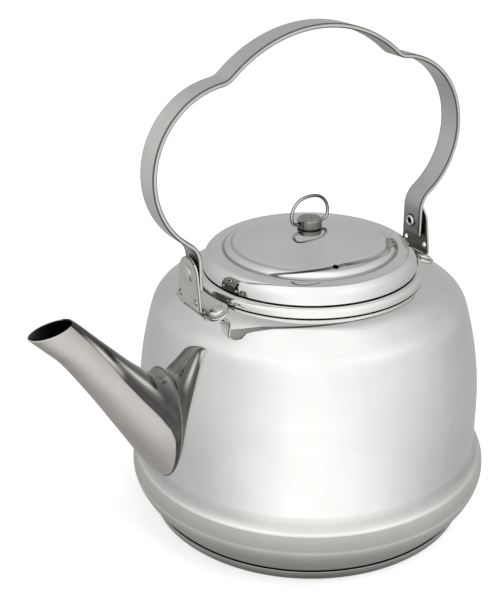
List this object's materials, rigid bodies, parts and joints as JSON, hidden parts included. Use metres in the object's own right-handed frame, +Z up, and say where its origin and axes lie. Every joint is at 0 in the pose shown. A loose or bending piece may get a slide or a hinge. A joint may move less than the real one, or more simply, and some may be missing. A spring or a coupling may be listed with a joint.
{
  "type": "stovetop kettle",
  "caption": "Round polished steel kettle with a slanted spout, a lift-off domed lid with a ring knob, and a scalloped strip bail that swings on riveted ears.",
  "frame": {"origin": "centre of the base's underside, on the body's axis", "axes": "+Z up along the body's axis; the spout points along -X; the bail stands in the X-Z plane and its pivots lie along X"},
  "size_m": [0.2651, 0.2028, 0.2746],
  "materials": {
    "polished_steel": "mirror-polished stainless steel, smooth and warm grey",
    "satin_steel": "satin stainless strip, fine grain along the bend",
    "spun_steel": "spun stainless cap, fine rings, brighter at its edge",
    "bracket_steel": "stamped stainless sheet, half polished",
    "rivet_steel": "bright drawn stainless steel",
    "disc_aluminium": "plain pressed aluminium disc"
  },
  "bodies": {
    "kettle": {"base_cap": "spun_steel", "base_core": "disc_aluminium", "base_pan": "polished_steel", "body_shell": "polished_steel", "neck_ring": "polished_steel", "spout": "polished_steel", "front_bracket": "bracket_steel", "rear_bracket": "bracket_steel", "front_pivot_rivet": "rivet_steel", "rear_pivot_rivet": "rivet_steel", "front_pivot_washer": "bracket_steel", "rear_pivot_washer": "bracket_steel", "front_right_foot_rivet": "rivet_steel", "front_left_foot_rivet": "rivet_steel", "rear_right_foot_rivet": "rivet_steel", "rear_left_foot_rivet": "rivet_steel"},
    "bail": {"bail": "satin_steel"},
    "lid": {"lid_shell": "polished_steel", "lid_skirt": "satin_steel", "lid_knob": "polished_steel", "knob_washer": "satin_steel"},
    "ring": {"knob_ring": "rivet_steel"}
  },
  "joints": [
    {"name": "bail_swing", "type": "hinge", "parent": "kettle", "child": "bail", "pos_m": [0, 0, 0.1545], "axis": [1, 0, 0], "range_deg": [-100, 100]},
    {"name": "lid_lift", "type": "slide", "parent": "kettle", "child": "lid", "axis": [0, 0, 1], "range_m": [0, 0.06]},
    {"name": "ring_flop", "type": "hinge", "parent": "lid", "child": "ring", "pos_m": [0, 0, 0.16761], "axis": [1, 0, 0], "range_deg": [-96, 96]}
  ]
}
